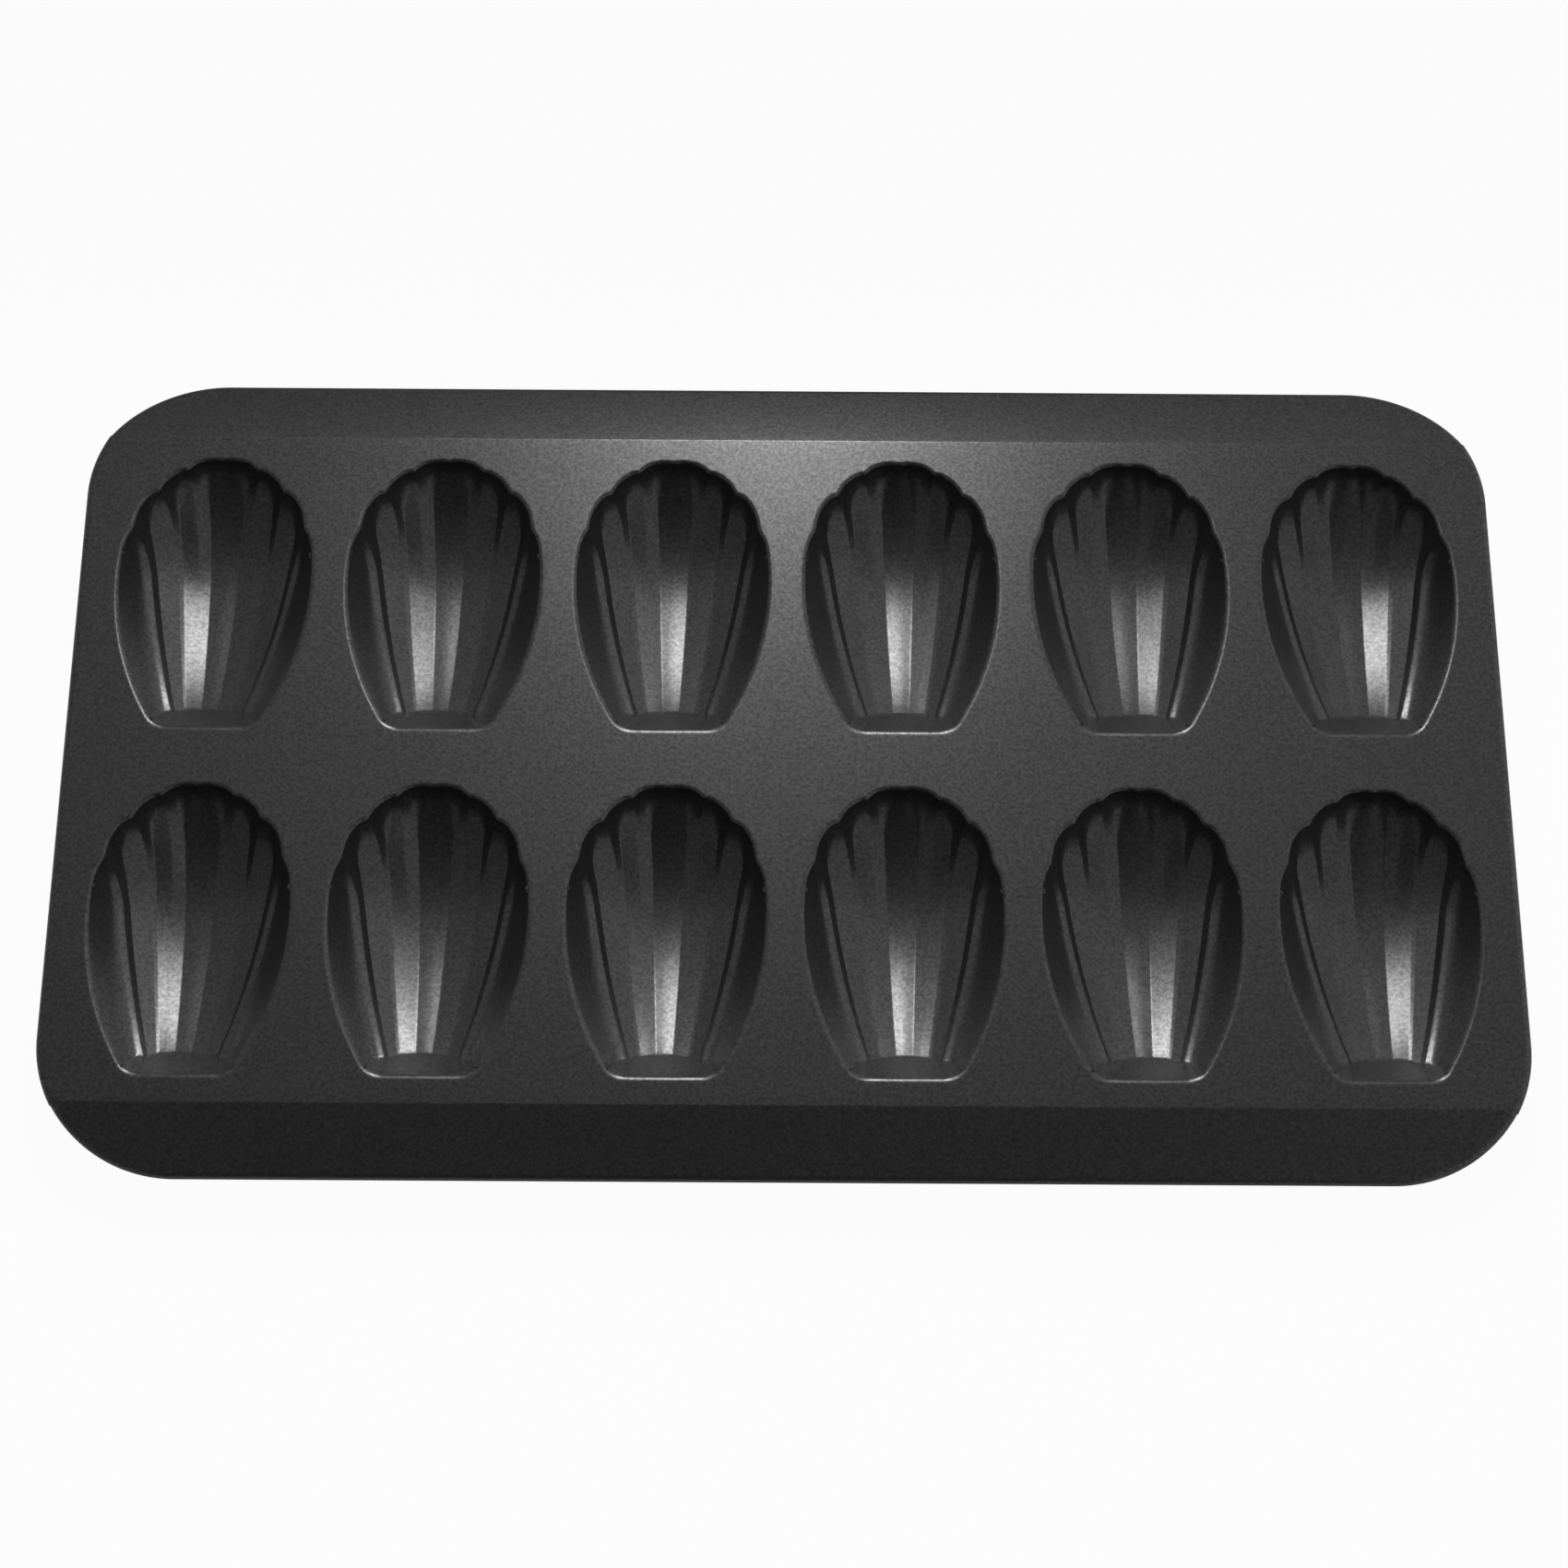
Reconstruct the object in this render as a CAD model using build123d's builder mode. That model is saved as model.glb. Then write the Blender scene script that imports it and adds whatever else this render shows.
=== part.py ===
from build123d import *
from math import asin, cos, degrees, pi, radians, sin, sqrt, tan
import os

# Madeleine pan: shell-shaped cups pressed in one steel sheet. The two long sides are folded down
# and the whole edge is curled round a steel wire. Millimetres, +Z up. The origin is on the table,
# under the middle of the pan. X runs along the pan and +Y points to the scalloped ends of the cups.

# Sheet and folded sides
sheet = 0.6
flange_length = 18.8
flange_angle = 13.7
corner_radius = 35.6

# Curled edge and its wire. The gap is where the curl stays open, as angles from straight outwards,
# and the round sections are drawn with this many sides.
wire_radius = 1.1
wire_clearance = 0.05
curl_gap_start = 150
curl_gap_end = 210
section_sides = 12

# Cups, and the flat land between them and out to the folds and to the ends of the pan
cup_columns = 6
cup_rows = 2
column_land = 9.2
row_land = 15.0
fold_land = 6.45
end_land = 10.2
pressing_margin = 3.0

# One cup, measured on the inside: its mouth, its depth and its lowest point
cup_half_width = 25.3
cup_half_length = 38.9
cup_depth = 15.0
low_point = 8.0
rest_land = 0.1

# Small end of the cup: a sloped wall behind the ends of the flutes
end_trim = 0.4
end_corner = 6.0
end_depth = 7.5
end_wall = 8.1
flute_end_bow = 3.2

# Long sides of the mouth: one arc each, from the last flute to the corner of the small end
side_radius = 76.5
side_centre = 3.4
side_start = 10.0

# Shape of the flutes: how they narrow towards the small end and bow outwards on the way
bow_share = 0.324
end_spread_share = 0.7
foot_share = 0.5
side_lip_share = 0.75
end_lip_share = 0.4

# Each flute line from the middle outwards, crests and valleys by turns: its places on the mouth, at
# the lowest point and at the end, as shares of the half width, the half length and the depth
line_names = ["crest0", "valley1", "crest1", "valley2", "crest2", "valley3", "crest3", "valley4"]
lip_x_shares = [0.0, 0.245, 0.364, 0.565, 0.648, 0.842, 0.889, 0.960]
lip_y_shares = [0.985, 0.987, 0.915, 0.853, 0.756, 0.643, 0.483, 0.391]
low_x_shares = [0.0, 0.142, 0.265, 0.415, 0.462, 0.668, 0.724, 0.826]
low_depth_shares = [0.996, 1.0, 0.960, 0.911, 0.885, 0.740, 0.613, 0.533]
end_x_shares = [0.0, 0.080, 0.148, 0.232, 0.259, 0.338, 0.370, 0.463]

# Second corner of each lobe on the mouth, which makes the scallop round there
lobe_x_shares = [0.091, 0.451, 0.751]
lobe_y_shares = [0.998, 0.910, 0.730]

# Where each line bends on its way: -1 on the mouth, 0 at the lowest point, 1 at the flute's end
stations = [-1, -0.85, -0.7, -0.5, -0.25, 0, 0.35, 0.7, 1]

# Derived sizes: the pan round its cups
column_pitch = 2 * cup_half_width + column_land
row_pitch = 2 * cup_half_length + row_land
pan_width = (cup_columns - 1) * column_pitch + 2 * (cup_half_width + end_land)
fold_spacing = (cup_rows - 1) * row_pitch + 2 * (cup_half_length + fold_land)
deck_top = cup_depth + sheet - rest_land
curl_bore = wire_radius + wire_clearance
curl_radius = curl_bore + sheet
gap_reach = 2 * curl_radius
edge_inset = curl_radius + sheet / 2
fold_shift = curl_radius * tan(radians(flange_angle / 2))
deck_depth = fold_spacing + 2 * flange_length - 4 * fold_shift
flange_depth = fold_spacing + 2 * flange_length
deck_outline = (pan_width - 2 * edge_inset, deck_depth - 2 * edge_inset)
flange_outline = (pan_width - 2 * edge_inset, flange_depth - 2 * edge_inset)
outline_radius = corner_radius - edge_inset
tile_width = 2 * (cup_half_width + pressing_margin)
tile_length = 2 * (cup_half_length + pressing_margin)
last_line = len(line_names) - 1

# The long side's arc runs into the corner of the small end, which sets where the corner starts
small_end = cup_half_length - end_trim
flute_end = small_end - end_wall
corner_rise = small_end - end_corner + side_centre
corner_turn = asin(corner_rise / (side_radius - end_corner))
side_finish = -small_end + end_corner - end_corner * sin(corner_turn)
end_straight = cup_half_width - side_radius + sqrt((side_radius - end_corner)**2 - corner_rise**2)


# Inside of a cup, as lines that run from the mouth down to the lowest point and on to the small end

def mouth_point(line):
    return Vector(lip_x_shares[line] * cup_half_width, lip_y_shares[line] * cup_half_length, 0)


def flute_x(line, y, end_y):
    run = (low_point - y) / (low_point - end_y)
    low_x = low_x_shares[line] * cup_half_width
    end_x = end_x_shares[line] * cup_half_width
    return low_x + (end_x - low_x) * ((1 - bow_share) * run + bow_share * run**2)


def inner_point(line, travel):
    """Travel is -1 on the mouth, 0 at the lowest point and 1 at the end of the flute."""
    lip = mouth_point(line)
    low_depth = low_depth_shares[line] * cup_depth
    end_y = -flute_end - flute_end_bow * low_x_shares[line]**2
    if travel < 0:
        swing = -travel * pi / 2
        y = low_point + (lip.Y - low_point) * sin(swing)
        spread = lip.X - flute_x(line, lip.Y, end_y)
        x = flute_x(line, y, end_y) + spread * (1 - cos(swing))
        return Vector(x, y, -low_depth * cos(swing))
    y = low_point + (end_y - low_point) * travel
    depth = low_depth * (1 - (1 - end_depth / cup_depth) * travel**2)
    return Vector(flute_x(line, y, end_y), y, -depth)


def side_point(travel):
    """A place on the long side of the mouth, beside the last valley at the same travel."""
    start_shift = side_start - inner_point(last_line, -1).Y
    end_shift = side_finish - inner_point(last_line, 1).Y
    shift = (start_shift * (1 - travel) + end_shift * (1 + travel)) / 2
    y = inner_point(last_line, travel).Y + shift
    return Vector(cup_half_width - side_radius + sqrt(side_radius**2 - (y - side_centre)**2), y, 0)


def small_end_point(line):
    """A place on the mouth at the small end, straight in the middle and round at the corner."""
    spread = (end_straight + end_spread_share * end_corner) / inner_point(last_line, 1).X
    x = inner_point(line, 1).X * spread
    over = max(0, x - end_straight)
    return Vector(x, -small_end + end_corner - sqrt(end_corner**2 - over**2), 0)


# Underside of a cup: the same lines, moved out by the sheet along the mean slope of the cup

def slope_normal(line, travel, along):
    before = inner_point(abs(line - 1), travel)
    if line == 0:
        before = Vector(-before.X, before.Y, before.Z)
    after = side_point(travel) if line == last_line else inner_point(line + 1, travel)
    return (after - before).cross(along).normalized()


def flute_direction(line, travel):
    step = 0.001
    start = max(-1, travel - step)
    finish = min(1, travel + step)
    return inner_point(line, finish) - inner_point(line, start)


def outer_point(line, travel):
    point = inner_point(line, travel)
    floor_normal = slope_normal(line, travel, flute_direction(line, travel))
    if travel == -1:
        moved = point + floor_normal * sheet
        return Vector(moved.X, moved.Y, -sheet)
    if travel < 1:
        return point + floor_normal * sheet
    wall_normal = slope_normal(line, travel, small_end_point(line) - point)
    both = floor_normal + wall_normal
    return point + both * (sheet / (1 + floor_normal.dot(wall_normal)))


# Rows of points on half a cup: the flute lines, the second corners of the lobes and the long side

def line_rows(line, point_at):
    points = [point_at(line, travel) for travel in stations]
    if line % 2 == 0 or line == last_line:
        return [points]
    lobe = line // 2
    corner = Vector(lobe_x_shares[lobe] * cup_half_width, lobe_y_shares[lobe] * cup_half_length, 0)
    shift = corner - mouth_point(line)
    fades = [max(0, (travel + foot_share) / (foot_share - 1)) for travel in stations]
    return [[point + shift * fade for point, fade in zip(points, fades)], points]


def side_row(thickness):
    row = []
    for travel in stations:
        point = side_point(travel)
        outwards = Vector(point.X - cup_half_width + side_radius, point.Y - side_centre, 0)
        offset = outwards.normalized() * side_lip_share * thickness
        row.append(point + offset - Vector(0, 0, thickness))
    return row


def small_end_row(thickness):
    row = []
    for line in range(last_line + 1):
        point = small_end_point(line)
        over = max(0, point.X - end_straight)
        outwards = Vector(over, point.Y + small_end - end_corner, 0).normalized()
        row.append(point + outwards * end_lip_share * thickness - Vector(0, 0, thickness))
    return row


# Faces of a cup, as flat triangles between neighbouring rows

def facets(a, b, c, d):
    corners = [[a, b, c], [a, c, d]]
    wide = [(p, q, r) for p, q, r in corners if p != q and q != r and r != p]
    return [Face(Wire.make_polygon(points)) for points in wide]


def strip(first, second):
    faces = []
    for a, b, c, d in zip(first, first[1:], second[1:], second):
        faces += facets(a, b, c, d)
    return faces


def cup_skin(point_at, thickness):
    """All faces of one skin of the sheet, and its mouth."""
    rows = []
    for line in range(last_line + 1):
        rows += line_rows(line, point_at)
    rows.append(side_row(thickness))
    flute_ends = [point_at(line, 1) for line in range(last_line + 1)]
    end_row = small_end_row(thickness)
    half = []
    for first, second in zip(rows, rows[1:]):
        half += strip(first, second)
    half += strip(flute_ends, end_row)
    half += facets(flute_ends[-1], end_row[-1], rows[-1][-1], rows[-1][-1])
    half_mouth = [row[0] for row in rows] + rows[-1][1:] + end_row[::-1]
    other_mouth = [Vector(-point.X, point.Y, point.Z) for point in half_mouth[-2:0:-1]]
    other_half = [face.mirror(Plane.YZ) for face in half]
    return half + other_half, Wire.make_polygon(half_mouth + other_mouth)


def cup_tile():
    """One cup with the rectangle of deck round it, cut flat where it stands on the table."""
    inner_faces, inner_mouth = cup_skin(inner_point, 0)
    outer_faces, outer_mouth = cup_skin(outer_point, sheet)
    top = Wire.make_rect(tile_width, tile_length)
    bottom = top.translate((0, 0, -sheet))
    faces = inner_faces + outer_faces + [Face(top, [inner_mouth]), Face(bottom, [outer_mouth])]
    for edge in top.edges():
        faces.append(Face.make_surface_from_curves(edge, edge.translate((0, 0, -sheet))))
    return Solid(Shell(faces)).split(Plane.XY.offset(-deck_top), keep=Keep.TOP)


tile = cup_tile()

# Planes of the folded sides, and the route of the edge wire, from the middle of the far side round
# the right-hand end to the middle of the near side
far_slope = Plane(
    origin=(0, fold_spacing / 2, deck_top),
    x_dir=(1, 0, 0),
    z_dir=(0, sin(radians(flange_angle)), cos(radians(flange_angle))),
)
near_slope = Plane(
    origin=(0, -fold_spacing / 2, deck_top),
    x_dir=(1, 0, 0),
    z_dir=(0, -sin(radians(flange_angle)), cos(radians(flange_angle))),
)
route_reach = flange_length - curl_radius
route_corner = (pan_width / 2 - corner_radius, flange_length - corner_radius)
route_radius = corner_radius - curl_radius
fold_turn = degrees(asin((corner_radius - flange_length + fold_shift) / route_radius))
side_x = pan_width / 2 - curl_radius
side_y = deck_depth / 2 - corner_radius

with BuildLine(far_slope.offset(-curl_radius)) as far_route:
    Line((0, route_reach), (route_corner[0], route_reach))
    CenterArc(route_corner, route_radius, 90, fold_turn - 90)

with BuildLine(Plane.XY.offset(deck_top - curl_radius)) as side_route:
    CenterArc((route_corner[0], side_y), route_radius, fold_turn, -fold_turn)
    Line((side_x, side_y), (side_x, -side_y))
    CenterArc((route_corner[0], -side_y), route_radius, 0, -fold_turn)

with BuildLine(near_slope.offset(-curl_radius)) as near_route:
    CenterArc((route_corner[0], -route_corner[1]), route_radius, -fold_turn, fold_turn - 90)
    Line((route_corner[0], -route_reach), (0, -route_reach))

with BuildLine() as route:
    add(far_route.line)
    add(side_route.line)
    add(near_route.line)

# Across the edge at the middle of the far side: X points outwards and Y up
edge_section = Plane(
    origin=far_slope.from_local_coords((0, route_reach, -curl_radius)),
    x_dir=far_slope.y_dir,
    z_dir=(1, 0, 0),
)

with BuildPart() as rim_wire:
    with BuildSketch(edge_section):
        RegularPolygon(wire_radius, section_sides)
    half_wire = sweep(path=route.wire(), transition=Transition.ROUND)
    mirror(half_wire, about=Plane.YZ)

with BuildPart() as pan_sheet:
    # Deck with a window for each cup
    with BuildSketch(Plane.XY.offset(deck_top)):
        RectangleRounded(*deck_outline, outline_radius)
        Rectangle(pan_width, fold_spacing, mode=Mode.INTERSECT)
        with GridLocations(column_pitch, row_pitch, cup_columns, cup_rows):
            Rectangle(tile_width, tile_length, mode=Mode.SUBTRACT)
    extrude(amount=-sheet)
    # Long sides, folded down
    with BuildSketch(far_slope):
        with Locations((0, -fold_spacing / 2)):
            RectangleRounded(*flange_outline, outline_radius)
        with Locations((0, flange_length / 2)):
            Rectangle(pan_width, flange_length, mode=Mode.INTERSECT)
    flange = extrude(amount=-sheet)
    mirror(flange, about=Plane.XZ)
    # Edge curled round the wire
    with BuildSketch(edge_section):
        RegularPolygon(curl_radius, section_sides)
        RegularPolygon(curl_bore, section_sides, mode=Mode.SUBTRACT)
        with BuildLine():
            gap_start = PolarLine((0, 0), gap_reach, curl_gap_start)
            gap_end = PolarLine((0, 0), gap_reach, curl_gap_end)
            Line(gap_start @ 1, gap_end @ 1)
        make_face(mode=Mode.SUBTRACT)
    half_curl = sweep(path=route.wire(), transition=Transition.ROUND)
    mirror(half_curl, about=Plane.YZ)
    # Cups
    with Locations((0, 0, deck_top)):
        with GridLocations(column_pitch, row_pitch, cup_columns, cup_rows):
            add(tile)

os.makedirs("parts", exist_ok=True)
pan_sheet.part.label = "pan_sheet"
rim_wire.part.label = "rim_wire"
export_step(pan_sheet.part, "parts/pan_sheet.step")
export_step(rim_wire.part, "parts/rim_wire.step")
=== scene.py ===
import math

import bpy
import numpy as np
from mathutils import Matrix, Vector


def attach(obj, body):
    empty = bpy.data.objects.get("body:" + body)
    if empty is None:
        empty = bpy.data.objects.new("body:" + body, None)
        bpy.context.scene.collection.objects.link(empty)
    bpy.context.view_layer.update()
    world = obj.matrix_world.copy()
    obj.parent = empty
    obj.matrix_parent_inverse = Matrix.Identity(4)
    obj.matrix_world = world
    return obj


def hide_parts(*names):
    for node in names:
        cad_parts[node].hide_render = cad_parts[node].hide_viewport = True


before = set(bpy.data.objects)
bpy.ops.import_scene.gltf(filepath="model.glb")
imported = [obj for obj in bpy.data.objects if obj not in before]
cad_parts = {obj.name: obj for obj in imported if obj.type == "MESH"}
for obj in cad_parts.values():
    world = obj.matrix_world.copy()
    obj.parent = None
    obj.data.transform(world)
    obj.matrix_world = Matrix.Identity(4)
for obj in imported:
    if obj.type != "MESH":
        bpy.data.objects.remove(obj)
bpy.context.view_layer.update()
mm = 0.001
tiny = 1e-12
tolerance = 1e-6

# Sizes in millimetres. They are the part's, and what rounds or lifts a crease or a lip is added here

sheetSizes = {
    "thickness": 0.6,
    "deckTop": 15.5,
    "halfWidth": 185.0,
    "foldY": 91.75,
    "foldRadius": 2.0,      # on the top of the sheet
    "flangeLength": 18.8,
    "flangeAngle": 13.7,
    "cornerRadius": 35.6,
}

rollSizes = {
    "wireRadius": 1.1,
    "boreRadius": 1.15,
    "outerRadius": 1.75,
    "startAngle": 90,       # on top of the edge, where the flat sheet ends
    "endAngle": -150,
}

cupSizes = {
    "columns": 6,
    "columnPitch": 59.8,
    "rowPitch": 92.8,
    "tileHalfWidth": 28.3,
    "tileHalfLength": 41.9,
    "halfWidth": 25.3,
    "halfLength": 38.9,
    "depth": 15.0,
    "lowPoint": 8.0,
    "smallEnd": 38.5,
    "endCorner": 6.0,
    "endDepth": 7.5,
    "fluteEnd": 30.4,
    "fluteEndBow": 3.2,
    "sideRadius": 76.5,
    "sideCentre": 3.4,
    "sideStart": 10.0,
    "bowShare": 0.324,
    "endSpreadShare": 0.7,
    "lobeFoot": 0.5,        # how far down the far wall the lobes stay round
    "lobeShare": 0.7,       # how much of the mouth between two cusps is round
    "lipRadius": 0.85,
    "endReach": 0.8,
    "longestReachShare": 0.45,
}

# crests and valleys by turns, from the middle of the cup outwards, where the middle crest stands
# 0.03 mm higher than in the part
fluteLines = {
    "lipX": [0.0, 0.245, 0.364, 0.565, 0.648, 0.842, 0.889, 0.960],
    "lipY": [0.985, 0.987, 0.915, 0.853, 0.756, 0.643, 0.483, 0.391],
    "lowX": [0.0, 0.142, 0.265, 0.415, 0.462, 0.668, 0.724, 0.826],
    "lowDepth": [0.994, 1.0, 0.960, 0.911, 0.885, 0.740, 0.613, 0.533],
    "endX": [0.0, 0.080, 0.148, 0.232, 0.259, 0.338, 0.370, 0.463],
    "lobeX": [0.091, 0.451, 0.751],
    "lobeY": [0.998, 0.910, 0.730],
    # how far each crease is rounded on either side, in millimetres
    "reach": [3.0, 0.42, 0.40, 0.35, 0.22, 0.25, 0.28, 4.0],
    # how much a crest stands up on the far wall, in millimetres
    "ridge": [0.0, 0.0, 0.34, 0.0, 0.22, 0.0, 0.0, 0.0],
}
lastLine = len(fluteLines["lipX"]) - 1

# where the cup's mesh has its rows, and how many places its round stretches have
cupMesh = {
    "wallRows": [-1, -0.93, -0.86, -0.79, -0.72, -0.65, -0.58, -0.5, -0.42, -0.34, -0.26, -0.18, -0.09],
    "fluteRows": [0, 0.1, 0.2, 0.3, 0.4, 0.5, 0.6, 0.7, 0.8, 0.88],
    "endWallRows": [0.35, 0.7],
    "bendRows": 4,
    "roundSteps": 8,
    "creaseSteps": 4,
    "faceSteps": 2,
    "sideSteps": 4,
    "lipSteps": 6,
    "deckRing": 0.35,       # first ring on the deck, in millimetres from the lip
    "wallPasses": 4,
    "deckPasses": 12,
    "underPasses": 3,
    "sharpAngle": 50,
}


# The cup as a surface

def mouthPoint(line):
    return np.array([
        fluteLines["lipX"][line] * cupSizes["halfWidth"],
        fluteLines["lipY"][line] * cupSizes["halfLength"],
        0.0,
    ])


def fluteX(line, y, endY):
    run = (cupSizes["lowPoint"] - y) / (cupSizes["lowPoint"] - endY)
    bow = cupSizes["bowShare"]
    lowX = fluteLines["lowX"][line] * cupSizes["halfWidth"]
    endX = fluteLines["endX"][line] * cupSizes["halfWidth"]
    return lowX + (endX - lowX) * ((1 - bow) * run + bow * run**2)


def linePoint(line, travel):
    # travel is -1 on the mouth, 0 at the lowest point and 1 at the end of the flute
    lip = mouthPoint(line)
    lowDepth = fluteLines["lowDepth"][line] * cupSizes["depth"]
    low = cupSizes["lowPoint"]
    endY = -cupSizes["fluteEnd"] - cupSizes["fluteEndBow"] * fluteLines["lowX"][line]**2
    if travel < 0:
        swing = -travel * math.pi / 2
        y = low + (lip[1] - low) * math.sin(swing)
        spread = lip[0] - fluteX(line, lip[1], endY)
        x = fluteX(line, y, endY) + spread * (1 - math.cos(swing))
        ridge = fluteLines["ridge"][line] * math.sin(-travel * math.pi)
        return np.array([x, y, ridge - lowDepth * math.cos(swing)])
    y = low + (endY - low) * travel
    depth = lowDepth * (1 - (1 - cupSizes["endDepth"] / cupSizes["depth"]) * travel**2)
    return np.array([fluteX(line, y, endY), y, -depth])


def sideX(y):
    radius = cupSizes["sideRadius"]
    return cupSizes["halfWidth"] - radius + math.sqrt(radius**2 - (y - cupSizes["sideCentre"])**2)


endCornerY = -cupSizes["smallEnd"] + cupSizes["endCorner"]
cornerReach = cupSizes["sideRadius"] - cupSizes["endCorner"]
cornerTurn = math.asin((cupSizes["sideCentre"] - endCornerY) / cornerReach)
endStraight = cupSizes["halfWidth"] - cupSizes["sideRadius"] + cornerReach * math.cos(cornerTurn)


def endArc(angle):
    # a place on the round corner of the small end, 0 at its straight
    radius = cupSizes["endCorner"]
    return np.array([
        endStraight + radius * math.sin(angle),
        endCornerY - radius * math.cos(angle),
        0.0,
    ])


sideFinish = endArc(math.pi / 2 - cornerTurn)[1]


def sidePoint(travel):
    startShift = cupSizes["sideStart"] - linePoint(lastLine, -1)[1]
    endShift = sideFinish - linePoint(lastLine, 1)[1]
    y = linePoint(lastLine, travel)[1] + (startShift * (1 - travel) + endShift * (1 + travel)) / 2
    return np.array([sideX(y), y, 0.0])


def rimPoint(line):
    spread = (endStraight + cupSizes["endSpreadShare"] * cupSizes["endCorner"]) / linePoint(lastLine, 1)[0]
    x = linePoint(line, 1)[0] * spread
    over = max(0.0, x - endStraight)
    if over == 0:
        return np.array([x, -cupSizes["smallEnd"], 0.0])
    return endArc(math.asin(over / cupSizes["endCorner"]))


lastRimAngle = math.asin((rimPoint(lastLine)[0] - endStraight) / cupSizes["endCorner"])
patchCornerAngle = (lastRimAngle + math.pi / 2 - cornerTurn) / 2


def bezier(points, count):
    # count places along a Bezier curve, without its last point
    places = []
    order = len(points) - 1
    for step in range(count):
        t = step / count
        places.append(sum(
            math.comb(order, k) * (1 - t)**(order - k) * t**k * points[k] for k in range(order + 1)
        ))
    return places


def towards(start, finish, reach):
    way = finish - start
    length = np.linalg.norm(way)
    return start + way * min(reach, cupSizes["longestReachShare"] * length) / max(length, tiny)


def halfSection(lines, lobes, side, roundness):
    # one half of a cross-section, from the middle to the side: rounded creases and round lobes
    def lobeReach(length, reach):
        roundReach = reach + roundness * (cupSizes["lobeShare"] * length - reach)
        return min(cupSizes["longestReachShare"] * length, roundReach)

    roundSteps, creaseSteps = cupMesh["roundSteps"], cupMesh["creaseSteps"]
    stretches = []
    for line, here in enumerate(lines):
        reach = fluteLines["reach"][line]
        before = lobes[0] * np.array([-1, 1, 1]) if line == 0 else lines[line - 1]
        after = side if line == lastLine else lines[line + 1]
        if line in (1, 3, 5):
            # a valley and the second corner of its lobe make one round stretch
            lobe = lobes[line // 2]
            back = np.linalg.norm(before - lobe)
            fore = np.linalg.norm(after - here)
            start = lobe + (before - lobe) * lobeReach(back, reach) / back
            finish = here + (after - here) * lobeReach(fore, reach) / fore
            stretches.append(([start, lobe, here, finish], roundSteps))
        else:
            if line in (0, 2, 4):
                after = lobes[line // 2]
            start = towards(here, before, reach)
            finish = towards(here, after, reach)
            steps = roundSteps if line in (0, lastLine) else creaseSteps
            stretches.append(([start, here, finish], steps))
    # the first stretch lies across the middle, so only its second half is kept
    places = bezier(stretches[0][0], roundSteps)[roundSteps // 2:]
    for (corners, _), (nextCorners, steps) in zip(stretches, stretches[1:]):
        places += bezier([corners[-1], nextCorners[0]], cupMesh["faceSteps"])
        places += bezier(nextCorners, steps)
    places += bezier([stretches[-1][0][-1], side], cupMesh["sideSteps"])
    places.append(side)
    return np.array(places)


def wholeSection(half):
    return np.vstack([half[:0:-1] * np.array([-1, 1, 1]), half])


def sectionAt(travel):
    lines = [linePoint(line, travel) for line in range(lastLine + 1)]
    fade = max(0.0, (travel + cupSizes["lobeFoot"]) / (cupSizes["lobeFoot"] - 1))
    lobes = []
    for lobe in range(3):
        corner = np.array([
            fluteLines["lobeX"][lobe] * cupSizes["halfWidth"],
            fluteLines["lobeY"][lobe] * cupSizes["halfLength"],
            0.0,
        ])
        lobes.append(lines[2 * lobe + 1] + (corner - mouthPoint(2 * lobe + 1)) * fade)
    return wholeSection(halfSection(lines, lobes, sidePoint(travel), fade))


def rimSection():
    lines = [rimPoint(line) for line in range(lastLine + 1)]
    lobes = [lines[1], lines[3], lines[5]]
    half = halfSection(lines, lobes, endArc(patchCornerAngle), 0.0)
    for place in half:
        over = max(0.0, place[0] - endStraight)
        place[1] = endCornerY - math.sqrt(cupSizes["endCorner"]**2 - min(over, cupSizes["endCorner"])**2)
    return wholeSection(half)


def cupPatch():
    # rows of places from the scalloped mouth, down, along the flutes and up to the small end
    rows = [sectionAt(travel) for travel in cupMesh["wallRows"] + cupMesh["fluteRows"]]
    floorLength = cupSizes["lowPoint"] + cupSizes["fluteEnd"]
    nearEnd = sectionAt(1 - cupSizes["endReach"] / floorLength)
    end = sectionAt(1)
    rim = rimSection()
    # the flutes bend up into the wall of the small end
    way = rim - end
    length = np.linalg.norm(way, axis=1, keepdims=True)
    reachShare = np.minimum(cupSizes["longestReachShare"], cupSizes["endReach"] / np.maximum(length, tiny))
    upEnd = end + way * reachShare
    rows += bezier([nearEnd, end, upEnd], cupMesh["bendRows"])
    rows.append(upEnd)
    for share in cupMesh["endWallRows"]:
        rows.append(upEnd + (rim - upEnd) * share)
    rows.append(rim)
    patch = np.array(rows)
    # meanwhile the side of the patch walks on round the corner of the small end
    sideAngle = math.pi / 2 - cornerTurn
    wallRows = cupMesh["bendRows"] + len(cupMesh["endWallRows"])
    for k in range(wallRows + 1):
        angle = sideAngle + (patchCornerAngle - sideAngle) * k / wallRows
        place = endArc(angle)
        patch[-1 - wallRows + k, -1] = place
        patch[-1 - wallRows + k, 0] = place * np.array([-1, 1, 1])
    return patch


def smoothLoop(values, passes):
    for _ in range(passes):
        values = (np.roll(values, 1, axis=0) + 2 * values + np.roll(values, -1, axis=0)) / 4
    return values


def unit(values):
    return values / np.maximum(np.linalg.norm(values, axis=-1, keepdims=True), tiny)


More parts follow.
